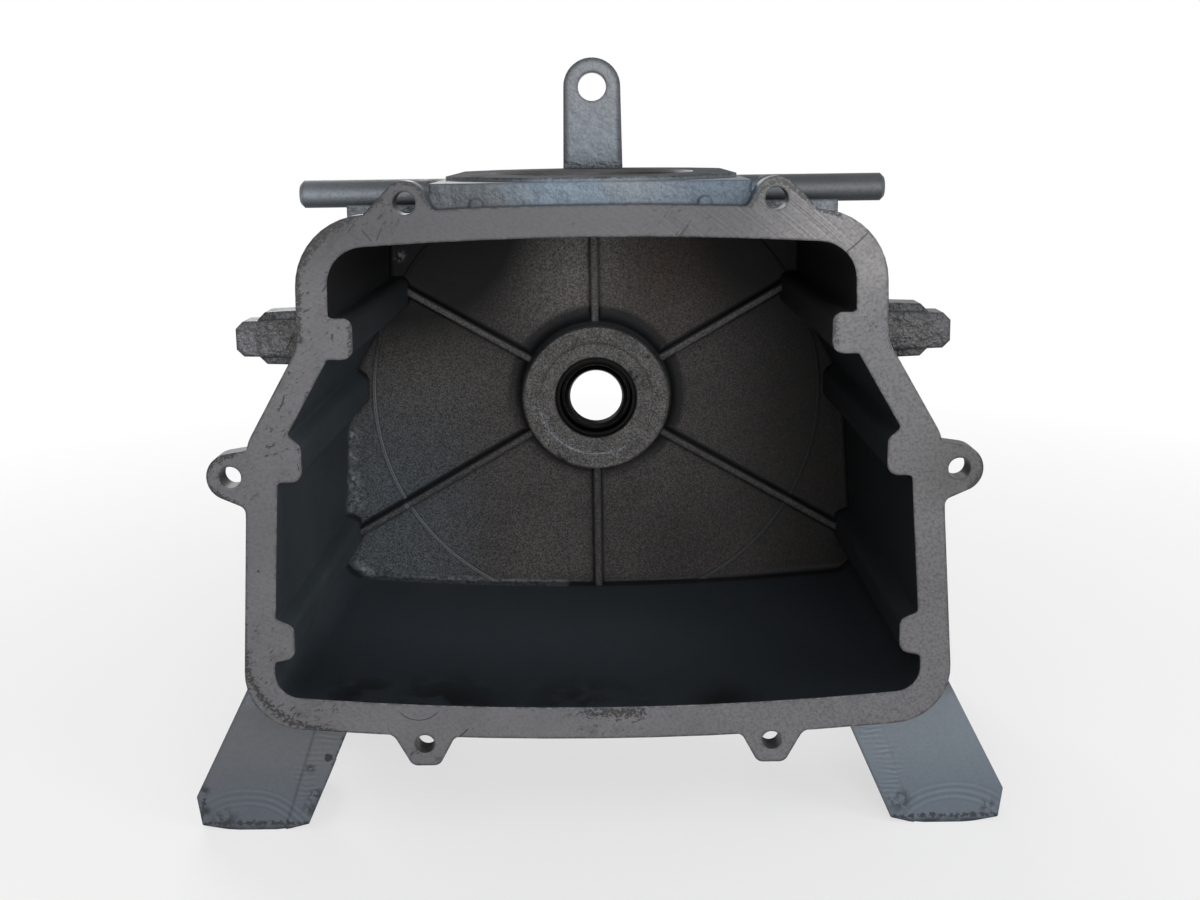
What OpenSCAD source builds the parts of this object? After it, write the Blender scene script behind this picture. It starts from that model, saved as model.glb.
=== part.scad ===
// Crankcase casting of a piston air pump, with the shaft seal pressed into its rear hub.
// The crank runs along Y, the open front faces -Y, and +Z is up. The origin is on the
// crank axis, in the middle of the main bearing seat.

/* [Case] */
// Inside depth, from the machined front face to the rear wall
case_depth = 166; // [120:1:220]
// Thickness of the side walls, roof and floor
wall_t = 7; // [5:0.5:10]
// Thickness of the rear wall
rear_wall_t = 8; // [6:0.5:12]
// Height of the roof over the crank axis, inside
roof_z = 105; // [100:0.2:125]
// Fall of the bowed roof from its middle to the top corners
roof_drop = 4; // [1:0.2:8]
// Depth of the floor under the crank axis, inside
floor_z = 115.6; // [112:0.2:135]
// Rise of the bowed floor from its middle to the bottom corners
floor_rise = 7.2; // [1:0.2:12]
// Inside half width under the roof
upper_half_w = 117.2; // [112:0.2:128]
// Inside half width at the knee, where the walls start to splay
knee_half_w = 118.4; // [113:0.2:130]
// Height of the knee over the crank axis
knee_z = 53; // [45:1:60]
// Inside half width at the hip, where the splay ends
hip_half_w = 143.6; // [138:0.2:155]
// Height of the hip over the crank axis
hip_z = 8.8; // [4:0.2:14]
// Inside half width at the floor
toe_half_w = 151.3; // [148:0.1:162]
// Inside radius of the top corners
roof_r = 17; // [8:1:24]
// Inside radius of the bottom corners
toe_r = 12; // [8:1:20]
// Radius of the cove between the rear wall and the side walls
cove_r = 3.6; // [2:0.2:7]

/* [Front flange] */
// Thickness of the flange
flange_t = 10; // [8:0.5:18]
// Width of the flange's machined face
flange_w = 14.2; // [12.5:0.1:18]
// Extra width of the face along the floor
sill_extra = 1.4; // [0:0.1:4]
// Outside radius of the shoulders
shoulder_r = 33; // [24:1:38]
// Outside radius of the lower corners
sill_r = 27; // [18:1:34]
// Diameter of the bolt holes in the top and side ears
ear_hole_d = 10; // [8:0.1:12]
// Diameter of the bolt holes in the bottom ears
sill_hole_d = 9; // [7:0.1:11]
// Radius of the top ears round their holes
top_ear_r = 9.8; // [9:0.1:13]
// Radius of the side ears round their holes
side_ear_r = 10.9; // [9.5:0.1:14]
// Half spacing of the top pair of holes
top_hole_x = 82; // [70:0.5:90]
// Half spacing of the bottom pair of holes
sill_hole_x = 81.6; // [65:0.1:95]
// Stand-off of the top and bottom holes outside the flange's edge
hole_out = 1.8; // [0:0.1:6]

/* [Columns inside] */
// Height of the upper column's middle over the crank axis
column_1_z = 60.8; // [58:0.2:66]
// Half width of the upper column
column_1_half = 9.4; // [7:0.1:11]
// Height of the middle column's middle over the crank axis
column_2_z = 3.4; // [0:0.2:9]
// Half width of the middle column
column_2_half = 8.4; // [6:0.1:10]
// Depth of the lower column's middle under the crank axis
column_3_z = 81.8; // [74:0.2:86]
// Half width of the lower column
column_3_half = 7.8; // [6:0.1:10]
// How far the upper and middle columns stand into the case
column_reach = 10.9; // [6:0.1:14]
// How far the lower columns stand into the case
column_3_reach = 9; // [5:0.1:12]
// Length of the fillet at a column's foot, along the wall
column_run = 10; // [6:0.5:14]
// Depth of a column's foot in the wall
column_bed = 0.4; // [0.2:0.1:1]
// Radius of a column's edges
column_r = 4.4; // [2:0.2:6]

/* [Rear hub] */
// Diameter of the hub inside the case
hub_d = 84.4; // [78:0.2:96]
// How far the hub stands off the rear wall, inside
hub_h = 14; // [12:0.5:20]
// Diameter of the shallow recess in the hub's face
hub_recess_d = 65; // [56:0.5:70]
// Depth of that recess
hub_recess_h = 0.5; // [0.2:0.1:1.2]
// Length of the hub behind the rear wall
rear_boss_h = 21; // [19:0.5:32]
// Diameter of the main bearing seat
bearing_d = 62; // [52:1:66]
// Width of the main bearing seat
bearing_h = 16; // [13:0.5:17]
// Diameter of the opening between the seal and the bearing
shoulder_d = 40; // [35:0.5:42]
// Width of the retaining ring groove behind the bearing seat
ring_groove_w = 2.2; // [1.5:0.1:2.6]
// Depth of the retaining ring groove
ring_groove_h = 1.6; // [1:0.1:2]
// Length of the plain mouth behind that groove
seat_mouth = 2.5; // [1.5:0.1:4]

/* [Ribs on the rear wall] */
// Number of ribs round the hub
rib_n = 6; // [4:1:8]
// Width of a rib at its crest
rib_w = 4.4; // [3:0.1:7]
// Height of a rib off the rear wall
rib_h = 7; // [4:0.5:9]
// Radius of the fillet at a rib's foot
rib_fillet = 2.5; // [1:0.1:3.5]
// Radius of the cove round the hub's foot
hub_cove_r = 6; // [3:0.5:9]
// Radius of the fine moulding line round the rear wall
seam_r = 130; // [110:1:136]
// Width of the moulding line
seam_w = 2; // [0.8:0.1:3]
// Height of the moulding line
seam_h = 0.8; // [0.3:0.1:1]

/* [Shaft seal] */
// Outside diameter of the seal, and of its bore
seal_d = 46; // [44.5:0.5:49]
// Diameter of the sealing lip
lip_d = 30; // [28:0.5:32]
// Width of the seal
seal_h = 8; // [7:0.5:9]
// Depth of the seal's face under the hub's face
seal_sink = 2; // [0.5:0.5:3]
// Thickness of the rubber over the seal's steel ring
skin_t = 0.7; // [0.5:0.1:1]
// Thickness of the seal's steel ring
steel_t = 1; // [0.6:0.1:1.2]
// Wire thickness of the garter spring's coil
garter_d = 2; // [1.4:0.1:2.2]

/* [Cylinder deck] */
// Height of the machined pad over the crank axis
deck_z = 131; // [127:0.5:145]
// Half width of the deck block
deck_half_w = 72; // [66:0.5:76]
// Height of the machined pad over the rough deck block
pad_h = 2; // [1:0.5:4]
// Distance of the pad inside the deck block's sides
pad_inset = 3; // [1:0.5:5]
// Radius of the pad's corners round the cylinder opening
pad_r = 81; // [76:1:88]
// Diameter of the cylinder opening
cylinder_d = 100; // [84:1:104]
// Distance of the cylinder opening's middle behind the front face
cylinder_y = 88; // [76:1:96]
// Half spacing of the four cylinder studs
stud_half = 53; // [50:0.5:58]
// Diameter of the tapped stud holes
stud_hole_d = 8.5; // [6.8:0.1:10.2]
// Depth of the stud holes
stud_hole_h = 18; // [12:1:20]
// Half spacing of the two small nubs on the deck's front wall
nub_x = 51; // [30:1:60]
// Radius of a nub
nub_r = 3; // [2:0.5:4.5]

/* [Lifting tongue] */
// Width of the tongue at its foot
tongue_w = 34.4; // [30:0.2:40]
// Thickness of the tongue
tongue_t = 12; // [8:0.5:14]
// Height of the tongue's hole over the crank axis
tongue_hole_z = 176.5; // [160:0.5:200]
// Diameter of the tongue's hole
tongue_hole_d = 16; // [12:0.5:20]
// Radius of the tongue's round end
tongue_r = 16; // [14:0.5:18]

/* [Side bars and lugs] */
// Diameter of the round side bars
bar_d = 14; // [11:0.5:14]
// Reach of the side bars from the crank axis
bar_reach = 148; // [138:1:160]
// Height of the side bars over the crank axis
bar_z = 121.7; // [120:0.1:124]
// Reach of the webs under the side bars
bar_web_x = 124.6; // [100:0.2:128]
// Thickness of the webs under the side bars
bar_web_t = 8; // [5:0.5:11]
// Chamfer of the side bars' ends
bar_chamfer = 1.8; // [0.6:0.2:3]
// Reach of the side lugs' tall part from the crank axis
lug_reach = 155.4; // [148:0.2:162]
// Reach of the side lugs' low part
lug_tip_reach = 165.4; // [162:0.2:176]
// Height of the side lugs' middle over the crank axis
lug_z = 58.2; // [54:0.2:64]
// Height of the side lugs' tall part
lug_h = 24.4; // [20:0.2:30]
// Height of the side lugs' low part
lug_tip_h = 16.4; // [12:0.2:19]
// Width of the side lugs along the crank axis
lug_w = 14; // [10:1:30]
// Chamfer of the side lugs' corners
lug_chamfer = 3.4; // [1:0.2:5]
// Distance of the side lugs behind the front face
lug_y = 20; // [14:1:40]

/* [Feet] */
// Height of the crank axis over the ground
axis_h = 182; // [172:1:200]
// Thickness of a leg's plate
leg_t = 11; // [8:0.5:16]
// Half width over the legs where they leave the flange's lower corners
leg_top_x = 167.4; // [160:0.2:172]
// Half width over the feet
foot_half_w = 195; // [186:0.5:205]
// Half width between the feet
foot_gap_half = 141; // [130:0.5:146]
// Half width between the legs where they meet the case
leg_gap_half = 119; // [105:0.5:124]
// Height of a leg's outer corner over the ground
tip_h = 17.4; // [12:0.2:24]
// Length of a foot along the crank axis
foot_l = 46; // [38:1:60]
// Thickness of a foot
foot_t = 12; // [9:0.5:16]
// Diameter of the holes for the holding-down bolts
foot_hole_d = 13; // [10:0.5:15]
// Rise of a foot's sole towards its ends, outside the flat
sole_rise = 2.6; // [1:0.2:4]
// Width of the raised strip along a leg's inner edge
strip_w = 13; // [8:0.5:18]
// Height of that strip
strip_h = 0.8; // [0.4:0.1:1.5]

/* [Hidden] */
$fn = 96;
arc_step = 9;
draft = 1.6;
lug_draft = 1.2;
arc_stride = 14;
bow_share = 0.85;
edge_r = 1.2;
overlap = 1;
far = 400;

// Places along the crank axis, counted from the front face
rear_y = case_depth + rear_wall_t;
hub_y = case_depth - hub_h;
back_y = rear_y + rear_boss_h;
groove_y = back_y - seat_mouth - ring_groove_w;
seat_y = groove_y - bearing_h;
seal_y = hub_y + seal_sink;
seal_back_y = seal_y + seal_h;
origin_y = seat_y + bearing_h / 2;
tongue_y = rear_y - tongue_t;
rear_foot_y = rear_y - foot_l;
deck_l = rear_y - flange_t;

// Heights where the legs leave the case, outside and inside, and a foot's width
leg_top_z = -(floor_z - 5.6);
leg_root_z = -floor_z - wall_t / 2;
foot_w = foot_half_w - foot_gap_half;

// Peak over the top of a bow that falls by drop, and the bow's radius over half width w
function bow_peak(drop) = drop * bow_share / (2 - bow_share);
function bow_r(w, drop) = bow_share * (1 - bow_share / 2) * w * w / drop;

// Corners of the case's inside, right half, from the roof to the floor: x, z, radius
inside = [
    [0, roof_z + bow_peak(roof_drop), bow_r(upper_half_w, roof_drop)],
    [upper_half_w, roof_z - roof_drop, roof_r],
    [knee_half_w, knee_z, 4],
    [hip_half_w, hip_z, 4],
    [toe_half_w, floor_rise - floor_z, toe_r],
    [0, -floor_z - bow_peak(floor_rise), bow_r(toe_half_w, floor_rise)]
];

// Ears of the flange: x, z and diameter of the hole, radius of the round part, then the
// ear's corners from the hole, each with its radius
side_ear_x = hip_half_w + 22.3;
side_ear_z = hip_z - 11.1;
top_ear_z = roof_z + flange_w + hole_out;
sill_ear_z = -(floor_z + flange_w + sill_extra + hole_out);
ears = [
    [top_hole_x, top_ear_z, ear_hole_d, top_ear_r, [
        [-24, -3.2, 0], [-12.6, -3.6, 4.5], [-9.6, 2.4, 0], [6.9, 6.9, 0],
        [19, -5.4, 5], [31, -9.2, 0], [0, -16, 0]
    ]],
    [side_ear_x, side_ear_z, ear_hole_d, side_ear_r, [
        [-13.4, 21, 0], [-7.8, 12.2, 2.5], [2.1, 10.7, 0], [4.3, -10, 0],
        [-6.2, -14.6, 4], [-5.8, -27.7, 0], [-15.5, -20, 0], [-16, 5, 0]
    ]],
    [sill_hole_x, sill_ear_z, sill_hole_d, sill_hole_d / 2 + 2, [
        [-26.6, 3.4, 0], [-14.1, 3.4, 4], [-6.6, -10.8, 4.5], [6.2, -10.8, 4.5],
        [14.9, 5, 6], [27, 6, 0], [0, 14, 0]
    ]]
];

// Columns: top, bottom, slope of the top and of the bottom, reach
columns = [
    [column_1_z + column_1_half, column_1_z - column_1_half, 0, 0, column_reach],
    [column_2_z + column_2_half, column_2_z - column_2_half, 5.4, 0.2, column_reach],
    [column_3_half - column_3_z, -column_3_z - column_3_half, 3.7, 2, column_3_reach]
];

// Half width of the inside at height z
function wall_x(z) = lookup(z, [for (c = inside) if (c[0] > 0) [c[1], c[0]]]);

function unit(v) = v / norm(v);
function flat(c) = [c[0], c[1]];

// Half of the angle inside corner b of the line a, b, c
function half_angle(a, b, c) = acos(max(-1, min(1, unit(a - b) * unit(c - b)))) / 2;

// Length that corner i of closed outline p takes up along its sides
function taken(p, i) = let (n = len(p), b = p[i % n])
    b[2] == 0 ? 0 : b[2] / tan(half_angle(flat(p[(i + n - 1) % n]), flat(b), flat(p[(i + 1) % n])));

// Share of side i, from corner i to the next, that its two fillets may use
function room(p, i) = let (n = len(p), used = taken(p, i) + taken(p, i + 1))
    used == 0 ? 1 : min(1, norm(flat(p[i % n]) - flat(p[(i + 1) % n])) / used * 0.98);

// Points of the arc that rounds corner i of closed outline p
function arc(p, i) = let (
        n = len(p), a = flat(p[(i + n - 1) % n]), b = flat(p[i]), c = flat(p[(i + 1) % n]),
        t = taken(p, i) * min(room(p, (i + n - 1) % n), room(p, i)),
        half = half_angle(a, b, c), r = t * tan(half),
        centre = b + unit(unit(a - b) + unit(c - b)) * r / sin(half),
        s = b + unit(a - b) * t - centre, e = b + unit(c - b) * t - centre,
        start = atan2(s[1], s[0]), turn = (atan2(e[1], e[0]) - start + 540) % 360 - 180,
        steps = max(1, ceil(abs(turn) / arc_step), ceil(t / arc_stride)))
    [for (k = [0:steps]) centre + r * [cos(start + turn * k / steps), sin(start + turn * k / steps)]];

// Closed outline p with each corner rounded to its own radius
function rounded(p) = [for (i = [0:len(p) - 1]) each p[i][2] == 0 ? [flat(p[i])] : arc(p, i)];

// Whole outline from its right half
function whole(half) = concat(half,
    [for (i = [len(half) - 1:-1:0]) if (half[i][0] > 0) [-half[i][0], half[i][1], half[i][2]]]);

// Outward normal of the side from a to b
function normal(a, b) = let (d = unit(b - a)) [-d[1], d[0]];

// Corners of a right half moved outwards by d, each with its radius grown by dr
function grown(half, d, dr) = [for (i = [0:len(half) - 1])
    let (n = len(half), b = flat(half[i]),
        n0 = i == 0 ? [0, 1] : normal(flat(half[i - 1]), b),
        n1 = i == n - 1 ? [0, -1] : normal(b, flat(half[i + 1])),
        m = b + d * (n0 + n1) / (1 + n0 * n1))
    [half[i][0] == 0 ? 0 : m[0], half[i][0] == 0 ? b[1] + sign(b[1]) * d : m[1],
        half[i][2] == 0 ? 0 : half[i][2] + dr]];

outside = grown(inside, wall_t, wall_t);
rim_raw = grown(inside, flange_w, flange_w);
rim = [for (i = [0:len(rim_raw) - 1])
    [rim_raw[i][0], rim_raw[i][1] - (rim_raw[i][1] < hip_z - flange_w ? sill_extra : 0),
        i == 1 ? shoulder_r : i == 4 ? sill_r : rim_raw[i][2]]];

// Outline in the XZ plane made solid from y = y0 to y0 + l
module slab(y0, l) {
    translate([0, y0 + l, 0])
        rotate([90, 0, 0])
            linear_extrude(l)
                children();
}

// Section in radius and depth turned about the crank axis, depth counted from the front face
module turned() {
    rotate([-90, 0, 0])
        rotate_extrude()
            children();
}

module both_sides() {
    children();
    mirror([1, 0, 0])
        children();
}

module outline(half) {
    polygon(rounded(whole(half)));
}

module ear_tabs() {
    both_sides()
        for (e = ears)
            translate([e[0], e[1]]) {
                circle(e[3]);
                polygon(rounded(e[4]));
            }
}

module flange_outline() {
    outline(rim);
    ear_tabs();
}

// Column against the wall, its foot filleted into the wall above and below it
module column_outline(top, bottom, rise, fall, reach) {
    middle = (top + bottom) / 2;
    face = wall_x(middle) - reach;
    head = top + rise;
    foot = bottom - fall;
    polygon(rounded([
        [wall_x(head + column_run) + column_bed, head + column_run, 0],
        [wall_x(head) + column_bed, head, column_r * 0.6],
        [face, top, column_r],
        [face, bottom, column_r * 1.2],
        [wall_x(foot) + column_bed, foot, column_r * 0.6],
        [wall_x(foot - column_run) + column_bed, foot - column_run, 0],
        [wall_x(middle) + wall_t * 0.7, middle, 0]
    ]));
}

module column_outlines() {
    both_sides()
        for (c = columns)
            column_outline(c[0], c[1], c[2], c[3], c[4]);
}

// Cylinder along Y from depth y0
module bore(d, y0, l) {
    translate([0, y0, 0])
        rotate([-90, 0, 0])
            cylinder(d = d, h = l);
}

// Cove along the inside foot of one straight wall, from corner a to corner b
module cove_strip(a, b) {
    run = norm(b - a);
    turn = atan2(b[1] - a[1], b[0] - a[0]);
    translate([a[0], case_depth, a[1]])
        rotate([0, -turn, 0])
            rotate([90, 0, 90])
                linear_extrude(run)
                    difference() {
                        translate([-cove_r, -cove_r])
                            square([cove_r + overlap, cove_r + overlap]);
                        translate([-cove_r, -cove_r])
                            circle(cove_r);
                    }
}

module rear_coves() {
    walls = [for (c = whole(inside)) flat(c)];
    intersection() {
        union()
            for (i = [0:len(walls) - 1])
                cove_strip(walls[i], walls[(i + 1) % len(walls)]);
        slab(case_depth - cove_r, cove_r + overlap)
            outline(outside);
    }
}

// Hub inside the case: drafted side, rounded edge and a cove onto the rear wall
module hub_inside() {
    r = hub_d / 2;
    foot = r + draft;
    turned()
        polygon(concat(
            [[0, hub_y], [r - edge_r, hub_y], [r, hub_y + edge_r]],
            [[foot, case_depth - hub_cove_r]],
            [for (a = [0:10:90]) [foot + hub_cove_r * (1 - cos(a)), case_depth - hub_cove_r * (1 - sin(a))]],
            [[foot + hub_cove_r, case_depth + overlap], [0, case_depth + overlap]]
        ));
}

module rear_boss() {
    r = hub_d / 2;
    turned()
        polygon(concat(
            [[0, rear_y - overlap], [r + hub_cove_r, rear_y - overlap]],
            [for (a = [90:-10:0]) [r + hub_cove_r * (1 - cos(a)), rear_y + hub_cove_r * (1 - sin(a))]],
            [[r, back_y - edge_r], [r - edge_r, back_y], [0, back_y]]
        ));
}

// Section of a rib: narrow round crest, drafted sides, filleted foot
module rib_section() {
    half = rib_w / 2;
    foot = half + rib_h * 0.08;
    polygon(rounded([
        [-foot - rib_fillet * 2, -overlap, 0],
        [-foot - rib_fillet * 2, 0, 0],
        [-foot, 0, rib_fillet],
        [-half, rib_h, rib_w * 0.36],
        [half, rib_h, rib_w * 0.36],
        [foot, 0, rib_fillet],
        [foot + rib_fillet * 2, 0, 0],
        [foot + rib_fillet * 2, -overlap, 0]
    ]));
}

module ribs() {
    intersection() {
        union()
            for (i = [0:rib_n - 1])
                rotate([0, i * 360 / rib_n, 0])
                    translate([0, case_depth, hub_d / 2 - edge_r])
                        rotate(180)
                            linear_extrude(far)
                                rib_section();
        slab(case_depth - rib_h - 1, rib_h + 1 + overlap)
            outline(outside);
    }
}

module seam() {
    intersection() {
        turned()
            translate([seam_r - seam_w / 2, case_depth - seam_h])
                square([seam_w, seam_h + overlap]);
        slab(case_depth - seam_h - 1, seam_h + 1 + overlap)
            outline(outside);
    }
}

// Plan of the machined pad: square, its corners turned round the cylinder opening
module pad_plan() {
    intersection() {
        translate([0, cylinder_y])
            circle(pad_r);
        translate([pad_inset - deck_half_w, flange_t])
            square([2 * (deck_half_w - pad_inset), deck_l - pad_inset]);
    }
}

module deck() {
    block_z = roof_z - roof_drop;
    translate([0, 0, block_z])
        linear_extrude(deck_z - pad_h - block_z)
            translate([-deck_half_w, flange_t - overlap])
                square([2 * deck_half_w, deck_l + overlap]);
    translate([0, 0, deck_z - pad_h - overlap])
        linear_extrude(pad_h + overlap)
            pad_plan();
    both_sides()
        translate([nub_x, 0, roof_z + flange_w])
            bore(2 * nub_r, flange_t - 3, 4);
}

module deck_openings() {
    translate([0, cylinder_y, roof_z - roof_drop - 10])
        cylinder(d = cylinder_d, h = far);
    translate([0, cylinder_y, deck_z - 1.5])
        cylinder(d1 = cylinder_d, d2 = cylinder_d + 4, h = 2);
    for (x = [-stud_half, stud_half])
        for (y = [-stud_half, stud_half])
            translate([x, cylinder_y + y, deck_z - stud_hole_h])
                cylinder(d = stud_hole_d, h = far);
}

// Lifting tongue: sides drafted up to its round end
module tongue() {
    slab(tongue_y, tongue_t) {
        translate([0, tongue_hole_z])
            circle(tongue_r);
        polygon([
            [-tongue_w / 2, roof_z],
            [-tongue_r, tongue_hole_z],
            [tongue_r, tongue_hole_z],
            [tongue_w / 2, roof_z]
        ]);
    }
}

// Round bar on each side of the deck, on a web that stands on the roof's shoulder
module side_bars() {
    web_z = roof_z - roof_drop - roof_r;
    both_sides() {
        translate([deck_half_w - overlap, cylinder_y, bar_z])
            rotate([0, 90, 0])
                cylinder(d = bar_d, h = bar_reach - bar_chamfer - deck_half_w + overlap);
        translate([bar_reach - bar_chamfer, cylinder_y, bar_z])
            rotate([0, 90, 0])
                cylinder(d1 = bar_d, d2 = bar_d - 2 * bar_chamfer, h = bar_chamfer);
        translate([deck_half_w - overlap, cylinder_y - bar_web_t / 2, web_z])
            cube([bar_web_x - deck_half_w + overlap, bar_web_t, bar_z - web_z]);
    }
}

// One side lug seen from the front: drafted towards its end, corners chamfered
module lug_part(reach, h) {
    root = h / 2 + lug_draft;
    polygon([
        [knee_half_w, lug_z - root],
        [reach - lug_chamfer, lug_z - h / 2],
        [reach, lug_z - h / 2 + lug_chamfer],
        [reach, lug_z + h / 2 - lug_chamfer],
        [reach - lug_chamfer, lug_z + h / 2],
        [knee_half_w, lug_z + root]
    ]);
}

module side_lugs() {
    both_sides() {
        slab(lug_y + lug_w * 0.15, lug_w)
            lug_part(lug_reach, lug_h);
        slab(lug_y, lug_w)
            lug_part(lug_tip_reach, lug_tip_h);
    }
}

// Right leg seen from the front, its top end inside the case's wall
module leg_outline() {
    sole = -axis_h;
    tip_z = sole + tip_h;
    lean = (foot_half_w - leg_top_x) / (leg_top_z - tip_z);
    hidden = 30;
    polygon(rounded([
        [leg_top_x - hidden * lean, leg_top_z + hidden, 0],
        [foot_half_w, tip_z, 1.5],
        [foot_half_w - 2, sole + sole_rise, 1],
        [foot_half_w - foot_w * 0.26, sole + 0.4, 20],
        [foot_half_w - foot_w * 0.37, sole, 0],
        [foot_gap_half + foot_w * 0.3, sole, 0],
        [foot_gap_half + foot_w * 0.19, sole + 0.6, 20],
        [foot_gap_half, sole + sole_rise + 0.6, 1],
        [leg_gap_half, leg_root_z - 9, 0],
        [leg_gap_half, leg_root_z, 0]
    ]));
}

module leg(y0) {
    slab(y0, leg_t)
        leg_outline();
}

// Foot: the lower stretch of the leg's outline, run along the crank axis
module foot(y0) {
    intersection() {
        slab(y0, foot_l)
            leg_outline();
        translate([0, y0, -axis_h - 1])
            cube([far, foot_l, foot_t + 1]);
    }
}

// Gusset between a leg and its foot, over the foot's middle
module gusset(y0, dir) {
    x = foot_gap_half + foot_w * 0.28;
    z = -axis_h + foot_t - overlap;
    translate([x - 4, y0, z])
        rotate([90, 0, 90])
            linear_extrude(8)
                polygon([[0, 0], [dir * (foot_l - leg_t) * 0.35, 0], [0, foot_l * 0.55]]);
}

module feet() {
    both_sides() {
        leg(flange_t + strip_h);
        intersection() {
            slab(flange_t, strip_h + overlap)
                leg_outline();
            slab(flange_t, strip_h + overlap)
                polygon([
                    [foot_gap_half - 4, -axis_h - 4],
                    [foot_gap_half + strip_w, -axis_h - 4],
                    [leg_gap_half + strip_w, leg_root_z],
                    [leg_gap_half - 4, leg_root_z]
                ]);
        }
        foot(flange_t + strip_h);
        foot(rear_foot_y);
        leg(rear_y - leg_t);
        gusset(flange_t + strip_h + leg_t - overlap, 1);
        gusset(rear_y - leg_t + overlap, -1);
    }
}

module foot_holes() {
    x = foot_gap_half + foot_w * 0.61;
    front = flange_t + strip_h + (foot_l + leg_t) / 2;
    both_sides()
        for (y = [front, rear_y - (foot_l + leg_t) / 2])
            translate([x, y, -axis_h - 1])
                cylinder(d = foot_hole_d, h = foot_t + 2);
}

module crankcase() {
    color([0.45, 0.46, 0.48])
        translate([0, -origin_y, 0])
            difference() {
                union() {
                    difference() {
                        union() {
                            slab(0, flange_t)
                                flange_outline();
                            slab(0, rear_y)
                                outline(outside);
                            deck();
                            side_lugs();
                            side_bars();
                            feet();
                            tongue();
                            rear_boss();
                        }
                        slab(-1, case_depth + 1)
                            outline(inside);
                    }
                    slab(0, case_depth + overlap)
                        intersection() {
                            column_outlines();
                            outline(outside);
                        }
                    rear_coves();
                    hub_inside();
                    ribs();
                    seam();
                }
                flange_holes();
                hub_bores();
                deck_openings();
                foot_holes();
                bore_at(tongue_hole_d, 0, tongue_hole_z, tongue_y - 1, tongue_t + 2);
            }
}

module bore_at(d, x, z, y0, l) {
    translate([x, 0, z])
        bore(d, y0, l);
}

module flange_holes() {
    for (e = ears)
        for (side = [-1, 1])
            bore_at(e[2], side * e[0], e[1], -1, flange_t + 2);
}

module hub_bores() {
    bore(hub_recess_d, hub_y - 1, hub_recess_h + 1);
    bore(seal_d, hub_y - 1, seal_back_y - hub_y + 1);
    bore(shoulder_d, seal_back_y - 1, seat_y - seal_back_y + 2);
    bore(bearing_d, seat_y, back_y - seat_y + 1);
    bore(bearing_d + 2 * ring_groove_h, groove_y, ring_groove_w);
}

// Rubber body of the seal: outer skin, rear web, spring groove and sealing lip
module seal_body() {
    r = seal_d / 2;
    lip = lip_d / 2;
    inner = r - 2 * skin_t - steel_t;
    web = 2 * skin_t + steel_t;
    lip_y = seal_h * 0.55;
    color([0.05, 0.05, 0.055])
        translate([0, -origin_y + seal_y, 0])
            difference() {
                turned()
                    polygon([
                        [r - 0.4, 0], [r, 0.6], [r, seal_h - 0.6], [r - 0.6, seal_h],
                        [lip + 1.6, seal_h], [lip + 0.3, seal_h - 0.5], [lip + 1.5, seal_h - 1.5],
                        [lip + 1.2, lip_y + 1], [lip, lip_y],
                        [lip + 0.9, lip_y - 2.4], [lip + 2.4, lip_y - 3],
                        [lip + 3.1, lip_y - 1.6],
                        [lip + 2.7, seal_h - web - 0.5], [lip + 3.4, seal_h - web],
                        [inner - 0.8, seal_h - web], [inner, seal_h - web - 0.8],
                        [inner, 0.4], [inner + 0.4, 0]
                    ]);
                turned()
                    ring_section();
                turned()
                    garter_section();
            }
}

module ring_section() {
    r = seal_d / 2 - skin_t;
    polygon([
        [r, skin_t], [r, seal_h - skin_t], [lip_d / 2 + 3.4, seal_h - skin_t],
        [lip_d / 2 + 3.4, seal_h - skin_t - steel_t], [r - steel_t, seal_h - skin_t - steel_t],
        [r - steel_t, skin_t]
    ]);
}

module garter_section() {
    translate([lip_d / 2 + 2.75 + garter_d * 0.32, seal_h * 0.55 - 0.55])
        circle(garter_d / 2, $fn = 32);
}

// Steel ring moulded inside the seal
module seal_ring() {
    color([0.6, 0.6, 0.62])
        translate([0, -origin_y + seal_y, 0])
            turned()
                ring_section();
}

// Coil spring, closed on itself, that holds the lip to the shaft
module garter_spring() {
    color([0.62, 0.6, 0.56])
        translate([0, -origin_y + seal_y, 0])
            turned()
                garter_section();
}

crankcase();
seal_body();
seal_ring();
garter_spring();
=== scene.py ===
import math

import bmesh
import bpy
from mathutils import Matrix, Vector


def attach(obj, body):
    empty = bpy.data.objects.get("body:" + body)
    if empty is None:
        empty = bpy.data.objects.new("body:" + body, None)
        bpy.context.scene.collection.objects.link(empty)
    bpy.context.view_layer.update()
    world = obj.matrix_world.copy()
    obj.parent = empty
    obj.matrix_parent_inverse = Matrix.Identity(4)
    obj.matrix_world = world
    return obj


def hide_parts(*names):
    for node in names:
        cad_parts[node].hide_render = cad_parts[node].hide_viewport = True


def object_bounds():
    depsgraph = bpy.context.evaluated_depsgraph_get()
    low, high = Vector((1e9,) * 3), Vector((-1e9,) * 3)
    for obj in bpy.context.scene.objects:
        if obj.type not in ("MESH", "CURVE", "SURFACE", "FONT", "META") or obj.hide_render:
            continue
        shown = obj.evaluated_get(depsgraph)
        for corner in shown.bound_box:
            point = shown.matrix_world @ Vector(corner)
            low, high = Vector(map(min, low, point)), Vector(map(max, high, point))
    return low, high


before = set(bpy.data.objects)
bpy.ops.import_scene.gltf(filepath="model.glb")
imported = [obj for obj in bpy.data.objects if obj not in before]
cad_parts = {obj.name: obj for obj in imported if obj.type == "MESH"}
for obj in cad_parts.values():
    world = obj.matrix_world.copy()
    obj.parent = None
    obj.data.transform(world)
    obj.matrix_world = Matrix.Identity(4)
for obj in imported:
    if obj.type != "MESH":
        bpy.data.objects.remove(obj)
cad_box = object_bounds()

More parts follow.
